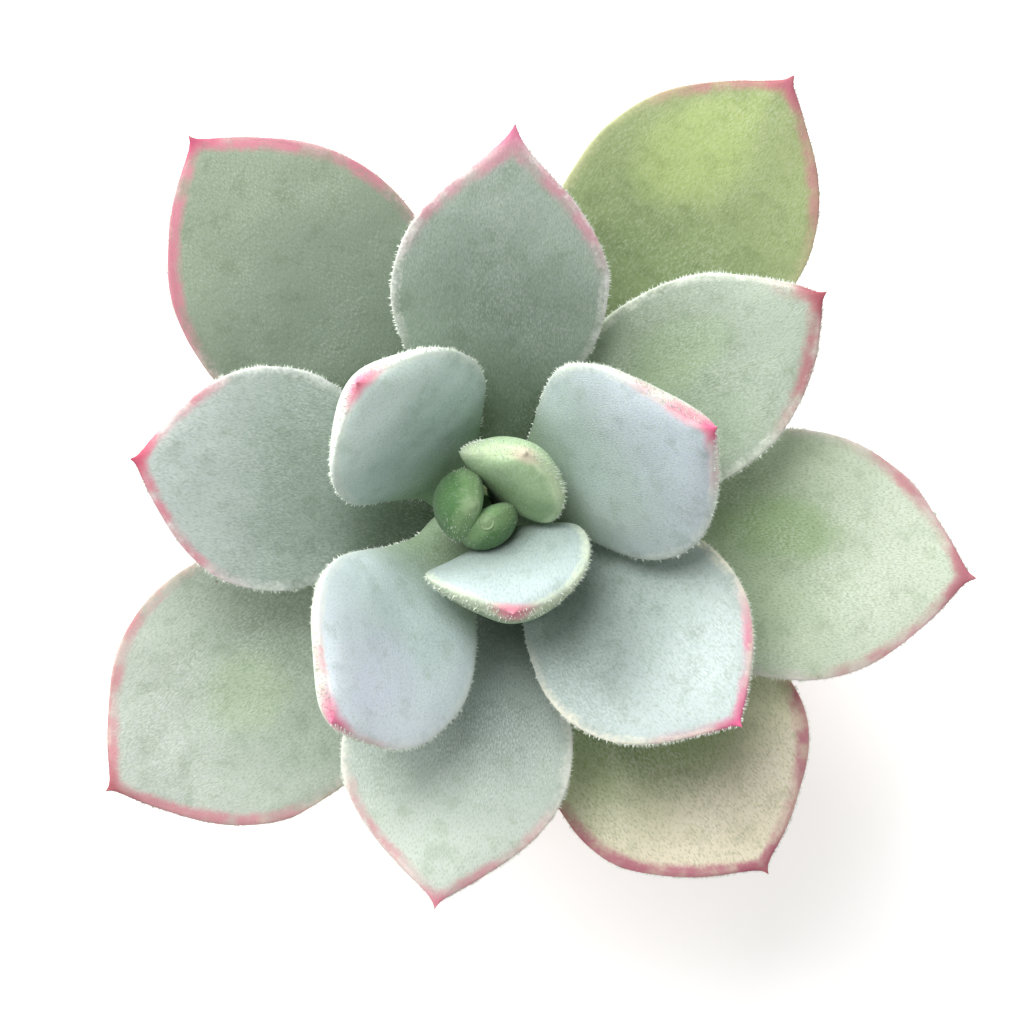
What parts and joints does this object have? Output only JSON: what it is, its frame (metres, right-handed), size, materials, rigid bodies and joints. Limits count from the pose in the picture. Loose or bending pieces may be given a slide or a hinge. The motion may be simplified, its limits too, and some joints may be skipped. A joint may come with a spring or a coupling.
{
  "type": "potted succulent",
  "caption": "Small tapered clay flower pot with potting mix and a rosette of thick, cupped, pointed leaves spiralling up a short stem.",
  "frame": {"origin": "centre of the pot's flat underside, on the surface that it stands on", "axes": "+Z up along the pot's axis; seen from straight above, +X is to the right and +Y is up"},
  "size_m": [0.0956, 0.0912, 0.0944],
  "materials": {
    "terracotta": "plain unglazed fired clay, dry and matt",
    "potting_mix": "dark crumbly gritty potting mix",
    "stem": "pale green-brown fleshy stem, matt",
    "outer_leaf": "velvety grey-green leaf with yellow-green patches and pink margins",
    "middle_leaf": "velvety sage-green leaf with a pink tip",
    "inner_leaf": "velvety pale blue-green leaf with a pink tip",
    "heart_leaf": "velvety fresh green young leaf with pale edges"
  },
  "bodies": {
    "root": {"pot": "terracotta", "potting_mix": "potting_mix", "stem": "stem", "outer_leaf_1": "outer_leaf", "outer_leaf_2": "outer_leaf", "outer_leaf_3": "outer_leaf", "outer_leaf_4": "outer_leaf", "outer_leaf_5": "outer_leaf", "middle_leaf_1": "middle_leaf", "middle_leaf_2": "middle_leaf", "middle_leaf_3": "middle_leaf", "middle_leaf_4": "middle_leaf", "middle_leaf_5": "middle_leaf", "inner_leaf_1": "inner_leaf", "inner_leaf_2": "inner_leaf", "inner_leaf_3": "inner_leaf", "heart_leaf_1": "heart_leaf", "heart_leaf_2": "heart_leaf", "heart_leaf_3": "heart_leaf", "heart_leaf_4": "heart_leaf"}
  },
  "joints": []
}
